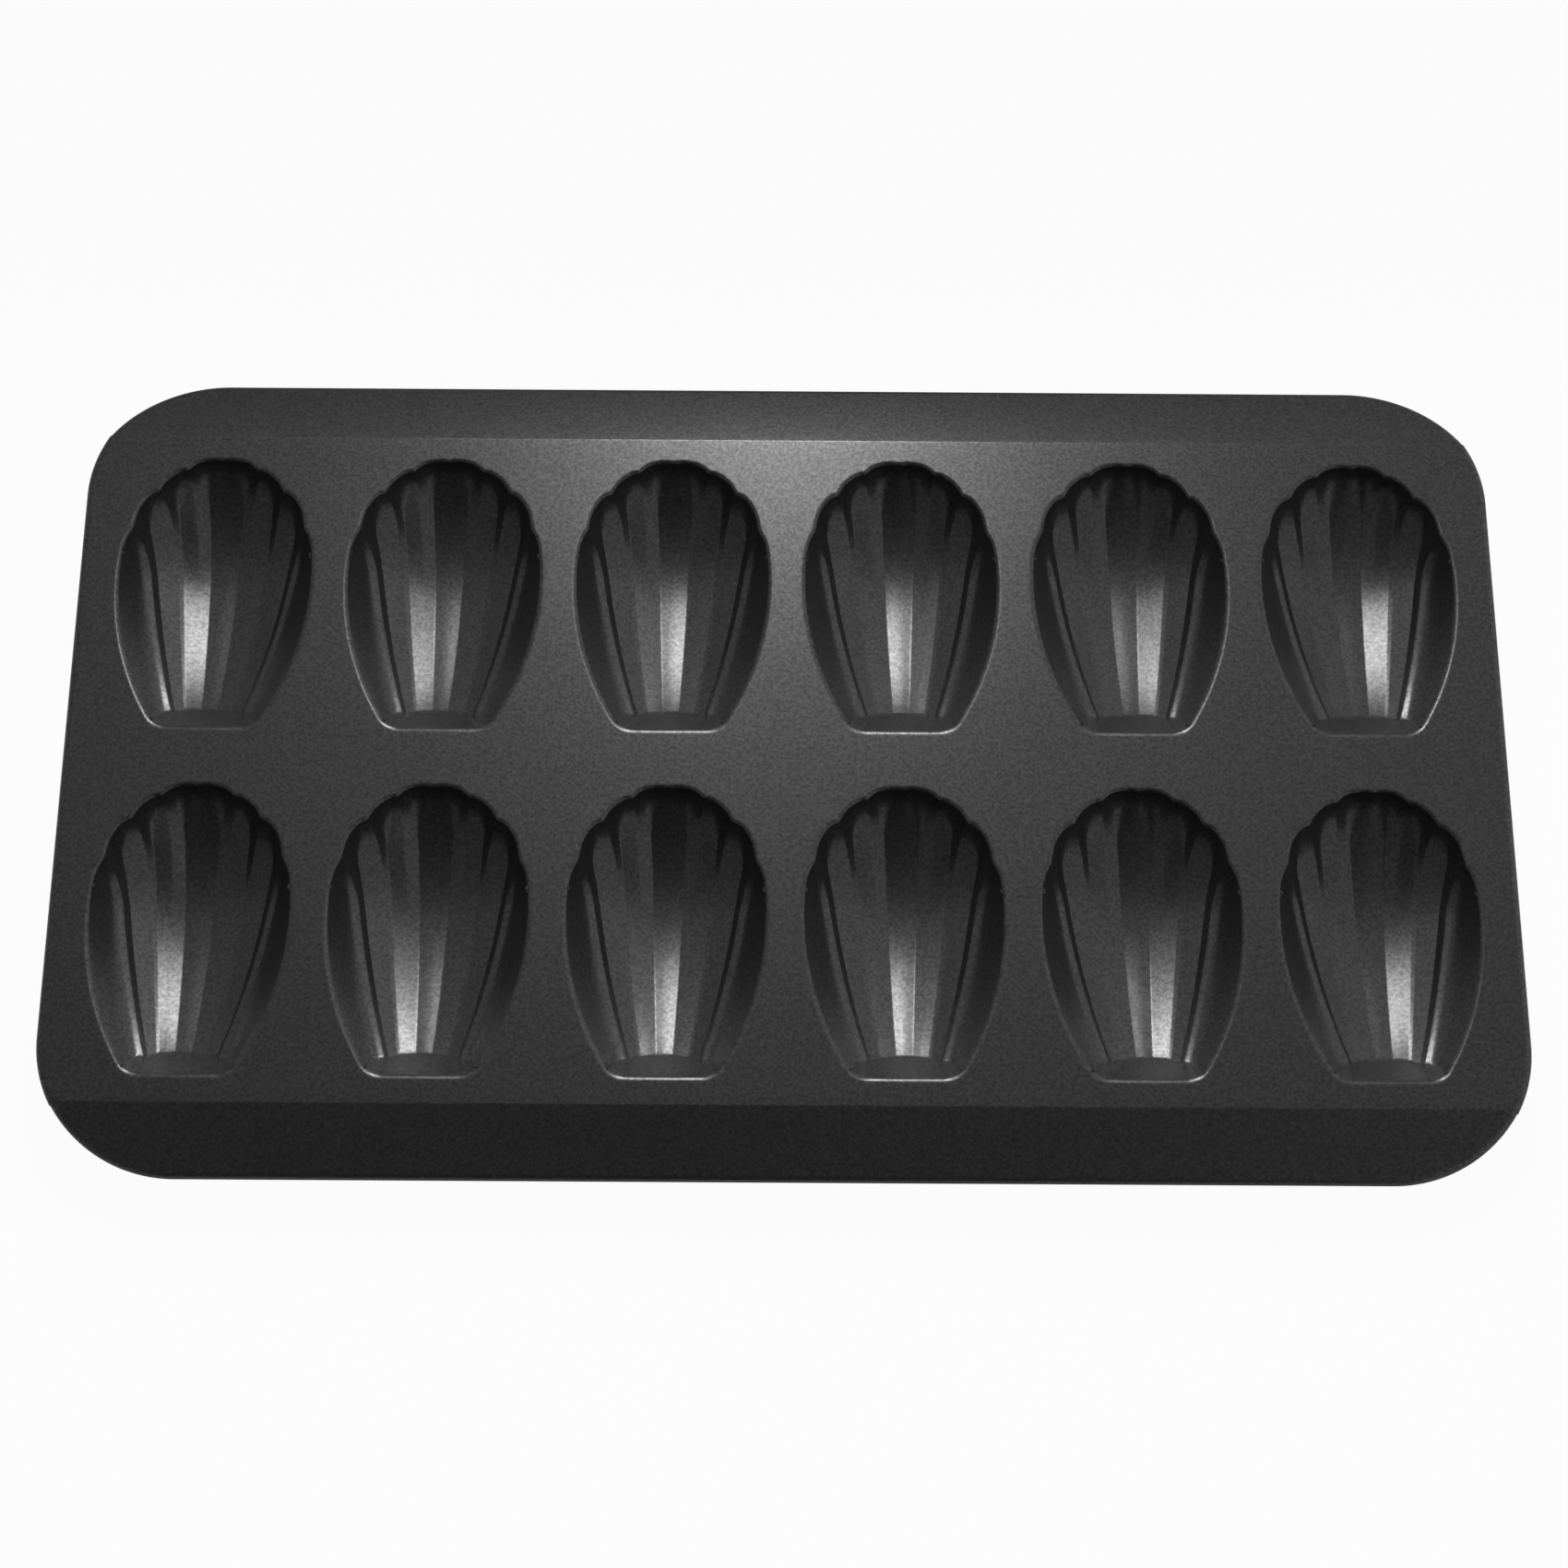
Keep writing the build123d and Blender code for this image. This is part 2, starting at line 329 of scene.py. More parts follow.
def cupTileRings():
    # the patch, and the rings round it: lip, deck and the edge of the tile
    patch = cupPatch()
    rows, columns = patch.shape[:2]
    loop = [(0, c) for c in range(columns)]
    loop += [(r, columns - 1) for r in range(1, rows)]
    loop += [(rows - 1, c) for c in range(columns - 2, -1, -1)]
    loop += [(r, 0) for r in range(rows - 2, 0, -1)]
    inwards = []
    for r, c in loop:
        stepR = 1 if r == 0 else (-1 if r == rows - 1 else 0)
        stepC = 1 if c == 0 else (-1 if c == columns - 1 else 0)
        inwards.append((r + stepR, c + stepC))
    mouth = np.array([patch[place] for place in loop])
    inner = np.array([patch[place] for place in inwards])
    wallWay = unit(smoothLoop(unit(inner - mouth), cupMesh["wallPasses"]))
    along = np.roll(mouth, -1, axis=0) - np.roll(mouth, 1, axis=0)
    outwards = unit(np.stack([-along[:, 1], along[:, 0], np.zeros(len(loop))], axis=1))
    outwards = unit(smoothLoop(outwards, cupMesh["deckPasses"]))
    lip = cupSizes["lipRadius"]
    start = mouth + outwards * lip
    finish = mouth + wallWay * lip
    for place, point in zip(loop, finish):
        patch[place] = point
    # the tile's edge, shared out over the four sides of the patch
    halfW, halfL = cupSizes["tileHalfWidth"], cupSizes["tileHalfLength"]
    edge = []
    for r, c in loop:
        x = -halfW + 2 * halfW * c / (columns - 1)
        y = halfL - 2 * halfL * r / (rows - 1)
        edge.append([x, y, 0.0])
    edge = np.array(edge)
    rings = [edge, (start + edge) / 2, start + outwards * cupMesh["deckRing"]]
    rings += bezier([start, mouth, finish], cupMesh["lipSteps"])
    return patch, rings, loop


def smoothMesh(name, places, faces, sharpAngle):
    mesh = bpy.data.meshes.new(name)
    mesh.from_pydata([tuple(place * mm) for place in places], [], faces)
    mesh.validate()
    for polygon in mesh.polygons:
        polygon.use_smooth = True
    mesh.set_sharp_from_angle(angle=math.radians(sharpAngle))
    mesh.update()
    return mesh


def closedShell(name, places, faces, drop):
    # a sheet of faces seen from above, and its underside, joined along the open edges
    places = np.array(places)
    under = places + drop
    count = len(places)
    edges = {}
    for face in faces:
        for a, b in zip(face, face[1:] + face[:1]):
            if (b, a) in edges:
                del edges[(b, a)]
            else:
                edges[(a, b)] = True
    allFaces = list(faces)
    allFaces += [tuple(count + v for v in reversed(face)) for face in faces]
    allFaces += [(b, a, count + a, count + b) for a, b in edges]
    return smoothMesh(name, np.vstack([places, under]), allFaces, cupMesh["sharpAngle"])


def vertexNormals(places, faces, passes):
    # area-weighted, then smoothed over the neighbours so that the underside has blunt creases
    normals = np.zeros_like(places)
    links = [set() for _ in places]
    for face in faces:
        corners = places[list(face)]
        cross = np.zeros(3)
        for k in range(1, len(face) - 1):
            cross += np.cross(corners[k] - corners[0], corners[k + 1] - corners[0])
        for v in face:
            normals[v] += cross
        for a, b in zip(face, face[1:] + face[:1]):
            links[a].add(b)
            links[b].add(a)
    normals = unit(normals)
    starts = np.repeat(np.arange(len(places)), [len(link) for link in links])
    ends = np.array([b for link in links for b in link])
    for _ in range(passes):
        total = normals.copy()
        np.add.at(total, starts, normals[ends])
        normals = unit(total)
    return normals


def cupTileMesh():
    patch, rings, loop = cupTileRings()
    rows, columns = patch.shape[:2]
    places = list(patch.reshape(-1, 3))
    faces = []
    for r in range(rows - 1):
        for c in range(columns - 1):
            a, b = r * columns + c, r * columns + c + 1
            faces.append((a, a + columns, b + columns, b))
    mouthIds = [r * columns + c for r, c in loop]
    ringIds = []
    for ring in rings:
        ringIds.append(list(range(len(places), len(places) + len(ring))))
        places += list(ring)
    ringIds.append(mouthIds)
    size = len(loop)
    for outer, inner in zip(ringIds, ringIds[1:]):
        for k in range(size):
            n = (k + 1) % size
            faces.append((outer[k], inner[k], inner[n], outer[n]))
    places = np.array(places)
    normals = vertexNormals(places, faces, cupMesh["underPasses"])
    if normals[ringIds[0][0]][2] < 0:
        faces = [tuple(reversed(face)) for face in faces]
        normals = -normals
    drop = -normals * sheetSizes["thickness"]
    flat = places[:, 2] > -tolerance
    drop[flat] = [0, 0, -sheetSizes["thickness"]]
    # the underside stops at the table
    tableDrop = -sheetSizes["deckTop"] - places[:, 2]
    drop[:, 2] = np.maximum(drop[:, 2], tableDrop)
    return closedShell("cupTile", places, faces, drop)


cupTile = cupTileMesh()
print("cup tile:", len(cupTile.polygons), "faces")


# Rows of cups, laid out with Geometry Nodes

def cupRowTree():
    tree = bpy.data.node_groups.new("cupRow", "GeometryNodeTree")
    for name, way, kind in (
        ("Cup", "INPUT", "NodeSocketGeometry"),
        ("Columns", "INPUT", "NodeSocketInt"),
        ("Column Pitch", "INPUT", "NodeSocketFloat"),
        ("Row Place", "INPUT", "NodeSocketFloat"),
        ("Deck Height", "INPUT", "NodeSocketFloat"),
        ("Finish", "INPUT", "NodeSocketMaterial"),
        ("Row", "OUTPUT", "NodeSocketGeometry"),
    ):
        tree.interface.new_socket(name=name, in_out=way, socket_type=kind)
    nodes, links = tree.nodes, tree.links
    inputs = nodes.new("NodeGroupInput")
    output = nodes.new("NodeGroupOutput")

    # first cup at minus half of the row's length
    gaps = nodes.new("ShaderNodeMath")
    gaps.operation = "SUBTRACT"
    gaps.inputs[1].default_value = 1
    length = nodes.new("ShaderNodeMath")
    length.operation = "MULTIPLY"
    halved = nodes.new("ShaderNodeMath")
    halved.operation = "MULTIPLY"
    halved.inputs[1].default_value = -0.5
    start = nodes.new("ShaderNodeCombineXYZ")
    step = nodes.new("ShaderNodeCombineXYZ")
    line = nodes.new("GeometryNodeMeshLine")
    line.mode = "OFFSET"
    place = nodes.new("GeometryNodeInstanceOnPoints")
    real = nodes.new("GeometryNodeRealizeInstances")
    paint = nodes.new("GeometryNodeSetMaterial")
    links.new(inputs.outputs["Columns"], gaps.inputs[0])
    links.new(gaps.outputs[0], length.inputs[0])
    links.new(inputs.outputs["Column Pitch"], length.inputs[1])
    links.new(length.outputs[0], halved.inputs[0])
    links.new(halved.outputs[0], start.inputs["X"])
    links.new(inputs.outputs["Row Place"], start.inputs["Y"])
    links.new(inputs.outputs["Deck Height"], start.inputs["Z"])
    links.new(inputs.outputs["Column Pitch"], step.inputs["X"])
    links.new(inputs.outputs["Columns"], line.inputs["Count"])
    links.new(start.outputs[0], line.inputs["Start Location"])
    links.new(step.outputs[0], line.inputs["Offset"])
    links.new(line.outputs[0], place.inputs["Points"])
    links.new(inputs.outputs["Cup"], place.inputs["Instance"])
    links.new(place.outputs[0], real.inputs[0])
    links.new(real.outputs[0], paint.inputs["Geometry"])
    links.new(inputs.outputs["Finish"], paint.inputs["Material"])
    links.new(paint.outputs[0], output.inputs["Row"])
    return tree


def setInput(modifier, name, value):
    for item in modifier.node_group.interface.items_tree:
        if item.item_type == "SOCKET" and item.in_out == "INPUT" and item.name == name:
            modifier[item.identifier] = value


def addToScene(thing):
    bpy.context.scene.collection.objects.link(thing)
    return thing


def plainMesh(source, name):
    # what the modifiers make, as a mesh of its own
    graph = bpy.context.evaluated_depsgraph_get()
    mesh = bpy.data.meshes.new_from_object(source.evaluated_get(graph))
    mesh.name = name
    bpy.data.objects.remove(source)
    return addToScene(bpy.data.objects.new(name, mesh))


# Finishes

grainSizes = {
    "fineDetail": 2.0,
    "fineRoughness": 0.6,
    "fleckScaleShare": 1.6,
    "fleckDetail": 1.0,
    "fleckRange": (0.55, 0.75),
    "cloudScale": 28.0,
    "cloudDetail": 3.0,
    # the stretch of each noise that the finishes use
    "heightRange": (0.35, 0.65),
    "cloudRange": (0.3, 0.7),
}


def grainGroup():
    # the fine spatter of a sprayed coating: a height, a fleck mask and broad clouds
    group = bpy.data.node_groups.new("sprayedGrain", "ShaderNodeTree")
    for name, way in (
        ("Grain Scale", "INPUT"),
        ("Fleck Amount", "INPUT"),
        ("Height", "OUTPUT"),
        ("Fleck", "OUTPUT"),
        ("Cloud", "OUTPUT"),
    ):
        group.interface.new_socket(name=name, in_out=way, socket_type="NodeSocketFloat")
    nodes, links = group.nodes, group.links
    inputs = nodes.new("NodeGroupInput")
    output = nodes.new("NodeGroupOutput")
    coords = nodes.new("ShaderNodeTexCoord")
    fine = nodes.new("ShaderNodeTexNoise")
    fine.inputs["Detail"].default_value = grainSizes["fineDetail"]
    fine.inputs["Roughness"].default_value = grainSizes["fineRoughness"]
    links.new(coords.outputs["Object"], fine.inputs["Vector"])
    links.new(inputs.outputs["Grain Scale"], fine.inputs["Scale"])
    links.new(fine.outputs["Fac"], output.inputs["Height"])

    fleckScale = nodes.new("ShaderNodeMath")
    fleckScale.operation = "MULTIPLY"
    fleckScale.inputs[1].default_value = grainSizes["fleckScaleShare"]
    links.new(inputs.outputs["Grain Scale"], fleckScale.inputs[0])
    fleck = nodes.new("ShaderNodeTexNoise")
    fleck.inputs["Detail"].default_value = grainSizes["fleckDetail"]
    links.new(coords.outputs["Object"], fleck.inputs["Vector"])
    links.new(fleckScale.outputs[0], fleck.inputs["Scale"])
    above = nodes.new("ShaderNodeMapRange")
    lowest, highest = grainSizes["fleckRange"]
    above.inputs["From Min"].default_value = lowest
    above.inputs["From Max"].default_value = highest
    links.new(fleck.outputs["Fac"], above.inputs["Value"])
    share = nodes.new("ShaderNodeMath")
    share.operation = "MULTIPLY"
    links.new(above.outputs["Result"], share.inputs[0])
    links.new(inputs.outputs["Fleck Amount"], share.inputs[1])
    links.new(share.outputs[0], output.inputs["Fleck"])

    cloud = nodes.new("ShaderNodeTexNoise")
    cloud.inputs["Scale"].default_value = grainSizes["cloudScale"]
    cloud.inputs["Detail"].default_value = grainSizes["cloudDetail"]
    links.new(coords.outputs["Object"], cloud.inputs["Vector"])
    links.new(cloud.outputs["Fac"], output.inputs["Cloud"])
    return group


grain = grainGroup()

coatingLook = {
    "dark": (0.006, 0.006, 0.0062, 1),
    "light": (0.022, 0.022, 0.0225, 1),
    "sparkle": (0.55, 1.0),  # how much the grain dims or keeps the reflections
    "grainScale": 1150.0,
    "fleckAmount": 0.5,
    "roughness": (0.52, 0.58),
    "ior": 1.5,
    "coat": 1.0,
    "coatRoughness": 0.27,
    "coatIor": 1.65,
    "bump": 0.3,
    "bumpHeight": 0.00005,
}

wireLook = {
    "dark": (0.32, 0.32, 0.33, 1),
    "light": (0.55, 0.55, 0.56, 1),
    "sparkle": (0.9, 1.0),
    "grainScale": 900.0,
    "fleckAmount": 0.6,
    "roughness": (0.28, 0.42),
    "ior": 1.5,
    "coat": 0.0,
    "coatRoughness": 0.3,
    "coatIor": 1.5,
    "bump": 0.1,
    "bumpHeight": 0.00003,
}


def stretched(nodes, links, value, used, wanted):
    # the used stretch of a value, spread over the wanted one
    spread = nodes.new("ShaderNodeMapRange")
    spread.inputs["From Min"].default_value, spread.inputs["From Max"].default_value = used
    spread.inputs["To Min"].default_value, spread.inputs["To Max"].default_value = wanted
    links.new(value, spread.inputs["Value"])
    return spread.outputs["Result"]


def grainedFinish(name, look, metallic):
    finish = bpy.data.materials.new(name)
    finish.use_nodes = True
    nodes, links = finish.node_tree.nodes, finish.node_tree.links
    shader = nodes["Principled BSDF"]
    shader.inputs["Metallic"].default_value = metallic
    shader.inputs["IOR"].default_value = look["ior"]
    spatter = nodes.new("ShaderNodeGroup")
    spatter.node_tree = grain
    spatter.inputs["Grain Scale"].default_value = look["grainScale"]
    spatter.inputs["Fleck Amount"].default_value = look["fleckAmount"]

    colour = nodes.new("ShaderNodeMix")
    colour.data_type = "RGBA"
    colour.inputs["A"].default_value = look["dark"]
    colour.inputs["B"].default_value = look["light"]
    links.new(spatter.outputs["Fleck"], colour.inputs["Factor"])
    links.new(colour.outputs["Result"], shader.inputs["Base Color"])

    sparkle = stretched(nodes, links, spatter.outputs["Height"], grainSizes["heightRange"], look["sparkle"])
    links.new(sparkle, shader.inputs["Specular Tint"])
    coat = nodes.new("ShaderNodeMath")
    coat.operation = "MULTIPLY"
    coat.inputs[1].default_value = look["coat"]
    links.new(sparkle, coat.inputs[0])
    links.new(coat.outputs[0], shader.inputs["Coat Weight"])
    shader.inputs["Coat Roughness"].default_value = look["coatRoughness"]
    shader.inputs["Coat IOR"].default_value = look["coatIor"]

    gloss = stretched(nodes, links, spatter.outputs["Cloud"], grainSizes["cloudRange"], look["roughness"])
    links.new(gloss, shader.inputs["Roughness"])

    bump = nodes.new("ShaderNodeBump")
    bump.inputs["Strength"].default_value = look["bump"]
    bump.inputs["Distance"].default_value = look["bumpHeight"]
    links.new(spatter.outputs["Height"], bump.inputs["Height"])
    links.new(bump.outputs["Normal"], shader.inputs["Normal"])
    return finish


coating = grainedFinish("satinCoating", coatingLook, 0.0)
wireSteel = grainedFinish("drawnWire", wireLook, 1.0)

rowTree = cupRowTree()
rowPieces = []
for rowName, side in (("cupsFarRow", 1), ("cupsNearRow", -1)):
    holder = addToScene(bpy.data.objects.new("holder", cupTile.copy()))
    rowMaker = holder.modifiers.new("cupRow", "NODES")
    rowMaker.node_group = rowTree
    setInput(rowMaker, "Columns", cupSizes["columns"])
    setInput(rowMaker, "Column Pitch", cupSizes["columnPitch"] * mm)
    setInput(rowMaker, "Row Place", side * cupSizes["rowPitch"] / 2 * mm)
    setInput(rowMaker, "Deck Height", sheetSizes["deckTop"] * mm)
    setInput(rowMaker, "Finish", coating)
    rowPieces.append(plainMesh(holder, rowName))
print("rows of cups:", [len(piece.data.polygons) for piece in rowPieces], "faces")


# Deck and folded sides

flangeAngle = math.radians(sheetSizes["flangeAngle"])
bendLength = sheetSizes["foldRadius"] * flangeAngle
edgeInset = rollSizes["outerRadius"]
edgeRadius = sheetSizes["cornerRadius"] - edgeInset
edgeHalfWidth = sheetSizes["halfWidth"] - edgeInset
edgeY = sheetSizes["foldY"] + sheetSizes["flangeLength"] - edgeInset
cornerX = sheetSizes["halfWidth"] - sheetSizes["cornerRadius"]
cornerY = edgeY - edgeRadius
windowNear = cupSizes["rowPitch"] / 2 - cupSizes["tileHalfLength"]
windowFar = cupSizes["rowPitch"] / 2 + cupSizes["tileHalfLength"]

# how finely the deck and the rolled edge are divided
edgeMesh = {
    "windowRows": [25.0, 46.4, 65.0],
    "foldSteps": 6,
    "sideSteps": 24,        # from the fold to the outline's far end
    "cornerSteps": 8,       # beside the windows
    "decimals": 6,
    "quarterSteps": 60,
    "foldCrossing": 4,      # places of the roll on either side of the middle of a fold
    "straightSteps": 12,
    "angleDecimals": 7,
    "outerSteps": 28,
    "endSteps": 6,
    "boreSteps": 18,
    "wireSides": 20,
    "rollSharpAngle": 50,
    "wireSharpAngle": 80,
}


def bentPlace(x, y):
    # where a place of the flat blank goes when the long sides are folded, and its normal
    side = 1 if y >= 0 else -1
    over = abs(y) - sheetSizes["foldY"] + bendLength / 2
    radius = sheetSizes["foldRadius"]
    if over <= 0:
        flat, drop, turn = abs(y), 0.0, 0.0
    else:
        turn = min(over / radius, flangeAngle)
        beyond = max(0.0, over - bendLength)
        flat = sheetSizes["foldY"] - bendLength / 2 + radius * math.sin(turn) + beyond * math.cos(turn)
        drop = radius * (1 - math.cos(turn)) + beyond * math.sin(turn)
    place = np.array([x, side * flat, sheetSizes["deckTop"] - drop])
    return place, np.array([0.0, side * math.sin(turn), math.cos(turn)])


def outlineHalfWidth(y):
    over = abs(y) - cornerY
    if over <= 0:
        return edgeHalfWidth
    return cornerX + math.sqrt(max(0.0, edgeRadius**2 - over**2))


def deckLevels():
    # y of the mesh's rows on one half of the blank: the windows, the fold and the corner arcs
    foldStart = sheetSizes["foldY"] - bendLength / 2
    levels = [0.0, windowNear] + edgeMesh["windowRows"] + [windowFar]
    folds, sides, corners = edgeMesh["foldSteps"], edgeMesh["sideSteps"], edgeMesh["cornerSteps"]
    levels += [foldStart + bendLength * k / folds for k in range(folds + 1)]
    bottom = math.asin((levels[-1] - cornerY) / edgeRadius)
    angles = [bottom + (math.pi / 2 - bottom) * k / sides for k in range(1, sides + 1)]
    windowAngle = math.asin((windowFar - cornerY) / edgeRadius)
    angles += [windowAngle * k / corners for k in range(corners)]
    levels += [cornerY + edgeRadius * math.sin(angle) for angle in angles]
    return sorted(set(round(level, edgeMesh["decimals"]) for level in levels))


def deckMesh():
    levels = deckLevels()
    levels = [-level for level in levels[:0:-1]] + levels
    windowsX = []
    for column in range(cupSizes["columns"]):
        middle = (column - (cupSizes["columns"] - 1) / 2) * cupSizes["columnPitch"]
        windowsX += [middle - cupSizes["tileHalfWidth"], middle + cupSizes["tileHalfWidth"]]
    places, drops, faces = [], [], []
    for y in levels:
        reach = outlineHalfWidth(y)
        shrink = 1.0 if abs(y) <= windowFar + tolerance else reach / outlineHalfWidth(windowFar)
        for x in [-reach] + [x * shrink for x in windowsX] + [reach]:
            place, normal = bentPlace(x, y)
            places.append(place)
            drops.append(-normal * sheetSizes["thickness"])
    columns = len(windowsX) + 2
    for r, (low, high) in enumerate(zip(levels, levels[1:])):
        middle = abs(low + high) / 2
        for c in range(columns - 1):
            inWindow = c % 2 == 1 and windowNear < middle < windowFar
            if not inWindow:
                a = r * columns + c
                faces.append((a, a + 1, a + 1 + columns, a + columns))
    return closedShell("deckAndFolds", places, faces, np.array(drops))


def finishMesh(name, mesh, material):
    mesh.materials.clear()
    mesh.materials.append(material)
    return addToScene(bpy.data.objects.new(name, mesh))


deck = finishMesh("deckAndFolds", deckMesh(), coating)
print("deck:", len(deck.data.polygons), "faces")


# Rolled edge and its wire

def edgeRoute():
    # places round the start of the roll, on the flat blank, with the way outwards
    turns, crossing = edgeMesh["quarterSteps"], edgeMesh["foldCrossing"]
    straight = edgeMesh["straightSteps"]
    quarter = [math.pi / 2 * k / turns for k in range(turns + 1)]
    for k in range(-crossing, crossing + 1):
        level = sheetSizes["foldY"] + bendLength * k / (2 * crossing)
        quarter.append(math.asin((level - cornerY) / edgeRadius))
    quarter = sorted(set(round(angle, edgeMesh["angleDecimals"]) for angle in quarter))
    stations = []
    for index, (sx, sy) in enumerate(((1, 1), (-1, 1), (-1, -1), (1, -1))):
        angles = quarter if index % 2 == 0 else quarter[::-1]
        for angle in angles:
            out = np.array([sx * math.cos(angle), sy * math.sin(angle)])
            stations.append((np.array([sx * cornerX, sy * cornerY]) + out * edgeRadius, out))
        # a few places along the straight that follows
        start, startOut = stations[-1]
        if index % 2 == 0:
            finish = np.array([-start[0], start[1]])
        else:
            finish = np.array([start[0], -start[1]])
        for k in range(1, straight):
            stations.append((start + (finish - start) * k / straight, startOut))
    return stations


def routeFrames():
    # centre of the roll, way outwards and way up at each place
    frames = []
    for flat, out in edgeRoute():
        place, normal = bentPlace(*flat)
        side = 1 if flat[1] >= 0 else -1
        slope = math.atan2(abs(normal[1]), normal[2])
        outwards = np.array([out[0], out[1] * math.cos(slope), -out[1] * side * math.sin(slope)])
        frames.append((place - normal * rollSizes["outerRadius"], unit(outwards), normal))
    return frames


def sweptRing(name, profile, material, sharpAngle):
    frames = routeFrames()
    count = len(profile)
    places = []
    for centre, outwards, up in frames:
        for across, height in profile:
            places.append(centre + outwards * across + up * height)
    faces = []
    total = len(frames)
    for k in range(total):
        n = (k + 1) % total
        for j in range(count):
            m = (j + 1) % count
            faces.append((k * count + j, k * count + m, n * count + m, n * count + j))
    return finishMesh(name, smoothMesh(name, places, faces, sharpAngle), material)


def arcPlaces(radius, startAngle, finishAngle, steps):
    # places along an arc round the middle of the roll, with angles in degrees
    angles = [math.radians(startAngle + (finishAngle - startAngle) * k / steps) for k in range(steps + 1)]
    return [(radius * math.cos(angle), radius * math.sin(angle)) for angle in angles]


def rollProfile():
    # the outside of the roll, its round end, and back along the bore
    outer, bore = rollSizes["outerRadius"], rollSizes["boreRadius"]
    start, finish = rollSizes["startAngle"], rollSizes["endAngle"]
    middle = (outer + bore) / 2
    capRadius = (outer - bore) / 2
    angle = math.radians(finish)
    cap = []
    for k in range(1, edgeMesh["endSteps"]):
        turn = math.pi * k / edgeMesh["endSteps"]
        across = middle + capRadius * math.cos(turn)
        past = -capRadius * math.sin(turn)
        cap.append((
            across * math.cos(angle) - past * math.sin(angle),
            across * math.sin(angle) + past * math.cos(angle),
        ))
    outside = arcPlaces(outer, start, finish, edgeMesh["outerSteps"])
    return outside + cap + arcPlaces(bore, finish, start, edgeMesh["boreSteps"])


def wireProfile():
    return arcPlaces(rollSizes["wireRadius"], 0, -360, edgeMesh["wireSides"])[:-1]


rolledEdge = sweptRing("rolledEdge", rollProfile(), coating, edgeMesh["rollSharpAngle"])
rimWire = sweptRing("rimWire", wireProfile(), wireSteel, edgeMesh["wireSharpAngle"])
print("edge:", len(rolledEdge.data.polygons), len(rimWire.data.polygons), "faces")

for piece in rowPieces + [deck, rolledEdge]:
    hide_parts("pan_sheet")
    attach(piece, "root")
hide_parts("rim_wire")
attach(rimWire, "root")


# Camera, as solved from the photograph

cameraSizes = {
    "place": (-3.652, -320.453, 776.536),
    "forward": (0.003805, 0.374587, -0.927184),
    "roll": 0.901,
    "lens": 75.44,
    "sensor": 36,
    "nearest": 0.01,
}


def addCamera():
    camera = bpy.data.cameras.new("photoCamera")
    camera.lens = cameraSizes["lens"]
    camera.sensor_width = cameraSizes["sensor"]
    camera.clip_start = cameraSizes["nearest"]
    eye = addToScene(bpy.data.objects.new("photoCamera", camera))
    forward = Vector(cameraSizes["forward"]).normalized()
    right = forward.cross(Vector((0, 0, 1))).normalized()
    up = right.cross(forward)
    roll = math.radians(cameraSizes["roll"])
    rolledRight = right * math.cos(roll) + up * math.sin(roll)
    rolledUp = up * math.cos(roll) - right * math.sin(roll)
    turn = Matrix((rolledRight, rolledUp, -forward)).transposed().to_4x4()
    place = Vector(cameraSizes["place"]) * mm + Vector((0, 0, sheetSizes["deckTop"] * mm))
    eye.matrix_world = Matrix.Translation(place) @ turn
    bpy.context.scene.camera = eye


addCamera()
print("camera: lens", cameraSizes["lens"], "mm")


# Floor, sky and the soft panel behind the pan

studio = {
    "floorSize": 6.0,
    "floorColour": (0.80, 0.80, 0.80, 1),
    "floorRoughness": 0.9,
    "whiteShare": 0.96,     # the rest keeps the pan's shadow
    # brightness of the room: in front of the pan, and what its back and its sides add
    "skyColour": (1.0, 1.0, 1.0, 1),
    "frontSky": 0.015,
    "backSky": 0.10,
    "leftSky": 0.22,
    "rightSky": 0.55,
    "backTurn": (0.0, 0.40),
    "sideTurn": (0.05, 0.5),
}

softPanel = {
    "lowerEdge": (0.0, 0.86, 0.42),
    "upperEdge": (0.0, 0.50, 0.88),
    "width": 0.17,
    "brightness": 31.0,
    "sideFade": 0.35,       # share of the width over which it fades out at either side
    # brightness at heights on the panel, both as shares
    "heightFade": [(0.0, 0.0), (0.12, 1.0), (0.5, 1.0), (0.75, 0.75), (0.9, 0.6), (1.0, 0.0)],
    # a flag behind the pan, worked out in the lamp's nodes, keeps its light off the far folded side
    "flagY": 0.21,
    "flagTop": (0.110, 0.145),
}


def paintedWhite(nodes, links, shader, output):
    # the camera sees nearly plain white, and everything else sees the real surface
    glow = nodes.new("ShaderNodeEmission")
    rays = nodes.new("ShaderNodeLightPath")
    blend = nodes.new("ShaderNodeMixShader")
    seen = nodes.new("ShaderNodeMath")
    seen.operation = "MULTIPLY"
    seen.inputs[1].default_value = studio["whiteShare"]
    links.new(rays.outputs["Is Camera Ray"], seen.inputs[0])
    links.new(seen.outputs[0], blend.inputs["Fac"])
    links.new(shader.outputs[0], blend.inputs[1])
    links.new(glow.outputs[0], blend.inputs[2])
    links.new(blend.outputs[0], output.inputs["Surface"])


def addFloor():
    half = studio["floorSize"] / 2
    mesh = bpy.data.meshes.new("floor")
    corners = [(-half, -half, 0), (half, -half, 0), (half, half, 0), (-half, half, 0)]
    mesh.from_pydata(corners, [], [(0, 1, 2, 3)])
    floor = addToScene(bpy.data.objects.new("floor", mesh))
    paint = bpy.data.materials.new("paleFloor")
    paint.use_nodes = True
    nodes, links = paint.node_tree.nodes, paint.node_tree.links
    shader = nodes["Principled BSDF"]
    shader.inputs["Base Color"].default_value = studio["floorColour"]
    shader.inputs["Roughness"].default_value = studio["floorRoughness"]
    paintedWhite(nodes, links, shader, nodes["Material Output"])
    mesh.materials.append(paint)


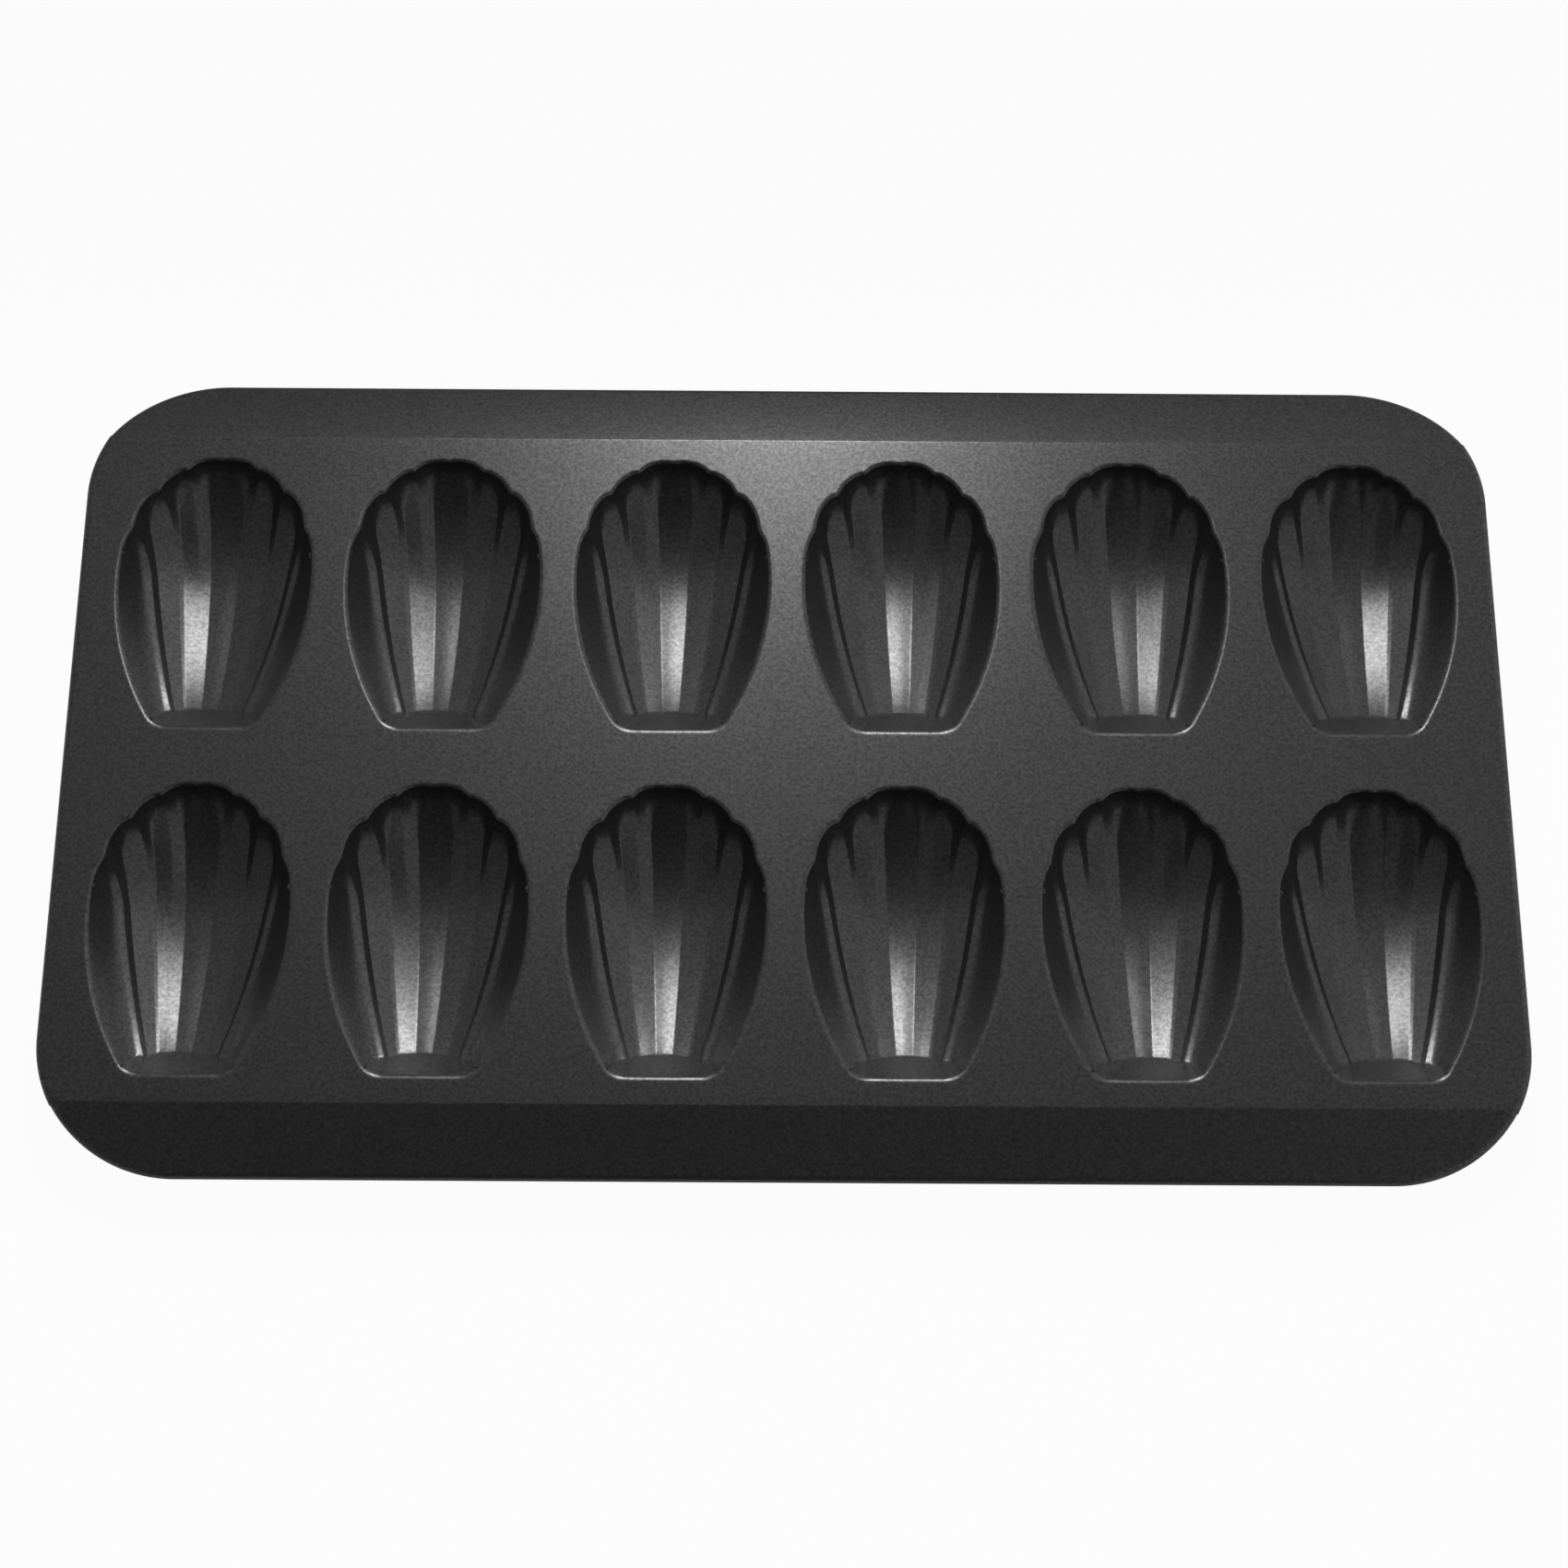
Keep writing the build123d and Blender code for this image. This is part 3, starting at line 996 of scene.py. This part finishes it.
def fadeBetween(nodes, links, value, start, finish, low, high):
    fade = nodes.new("ShaderNodeMapRange")
    fade.interpolation_type = "SMOOTHSTEP"
    fade.inputs["From Min"].default_value = start
    fade.inputs["From Max"].default_value = finish
    fade.inputs["To Min"].default_value = low
    fade.inputs["To Max"].default_value = high
    links.new(value, fade.inputs["Value"])
    return fade.outputs["Result"]


def combined(nodes, links, operation, first, second):
    result = nodes.new("ShaderNodeMath")
    result.operation = operation
    links.new(first, result.inputs[0])
    links.new(second, result.inputs[1])
    return result.outputs[0]


def addWorld():
    # dark room in front, brighter towards the back and the sides
    world = bpy.data.worlds.new("studio")
    bpy.context.scene.world = world
    world.use_nodes = True
    nodes, links = world.node_tree.nodes, world.node_tree.links
    sky = nodes["Background"]
    sky.inputs["Color"].default_value = studio["skyColour"]
    coords = nodes.new("ShaderNodeTexCoord")
    way = nodes.new("ShaderNodeSeparateXYZ")
    links.new(coords.outputs["Generated"], way.inputs[0])
    front = studio["frontSky"]
    near, far = studio["sideTurn"]
    back = fadeBetween(
        nodes, links, way.outputs["Y"], *studio["backTurn"], front, front + studio["backSky"],
    )
    left = fadeBetween(nodes, links, way.outputs["X"], -far, -near, studio["leftSky"], 0)
    right = fadeBetween(nodes, links, way.outputs["X"], near, far, 0, studio["rightSky"])
    sides = combined(nodes, links, "ADD", left, right)
    links.new(combined(nodes, links, "ADD", back, sides), sky.inputs["Strength"])
    paintedWhite(nodes, links, sky, nodes["World Output"])


def overFlag(nodes, links, place):
    # how much of a ray passes over the flag, from its height where it crosses it
    start = nodes.new("ShaderNodeSeparateXYZ")
    way = nodes.new("ShaderNodeSeparateXYZ")
    links.new(place.outputs["Position"], start.inputs[0])
    links.new(place.outputs["Incoming"], way.inputs[0])
    before = nodes.new("ShaderNodeMath")
    before.operation = "SUBTRACT"
    before.inputs[0].default_value = softPanel["flagY"]
    links.new(start.outputs["Y"], before.inputs[1])
    travel = combined(nodes, links, "DIVIDE", before.outputs[0], way.outputs["Y"])
    fall = combined(nodes, links, "MULTIPLY", travel, way.outputs["Z"])
    height = combined(nodes, links, "ADD", start.outputs["Z"], fall)
    return fadeBetween(nodes, links, height, *softPanel["flagTop"], 0, 1)


def addPanel():
    lower, upper = Vector(softPanel["lowerEdge"]), Vector(softPanel["upperEdge"])
    height = (upper - lower).length
    light = bpy.data.lights.new("softPanel", "AREA")
    light.shape = "RECTANGLE"
    light.size, light.size_y = softPanel["width"], height
    light.energy = softPanel["brightness"] * math.pi * softPanel["width"] * height
    light.use_nodes = True
    nodes, links = light.node_tree.nodes, light.node_tree.links
    glow = nodes["Emission"]
    place = nodes.new("ShaderNodeNewGeometry")
    parts = nodes.new("ShaderNodeSeparateXYZ")
    links.new(place.outputs["Parametric"], parts.inputs[0])
    u, v = parts.outputs["X"], parts.outputs["Y"]
    side = softPanel["sideFade"]
    across = combined(
        nodes, links, "MULTIPLY",
        fadeBetween(nodes, links, u, 0, side, 0, 1), fadeBetween(nodes, links, u, 1 - side, 1, 1, 0),
    )
    along = nodes.new("ShaderNodeValToRGB")
    stops = along.color_ramp.elements
    while len(stops) < len(softPanel["heightFade"]):
        stops.new(0.5)
    for stop, (height, level) in zip(stops, softPanel["heightFade"]):
        stop.position = height
        stop.color = (level, level, level, 1)
    links.new(v, along.inputs["Fac"])
    spread = combined(nodes, links, "MULTIPLY", across, along.outputs["Color"])
    flagged = combined(nodes, links, "MULTIPLY", spread, overFlag(nodes, links, place))
    links.new(flagged, glow.inputs["Strength"])
    panel = addToScene(bpy.data.objects.new("softPanel", light))
    sideways = Vector((-1, 0, 0))
    upwards = (upper - lower).normalized()
    turn = Matrix((sideways, upwards, sideways.cross(upwards))).transposed().to_4x4()
    panel.matrix_world = Matrix.Translation((lower + upper) / 2) @ turn


addFloor()
addWorld()
addPanel()
print("studio: floor, sky and panel")
bpy.context.scene.view_settings.view_transform = "Standard"
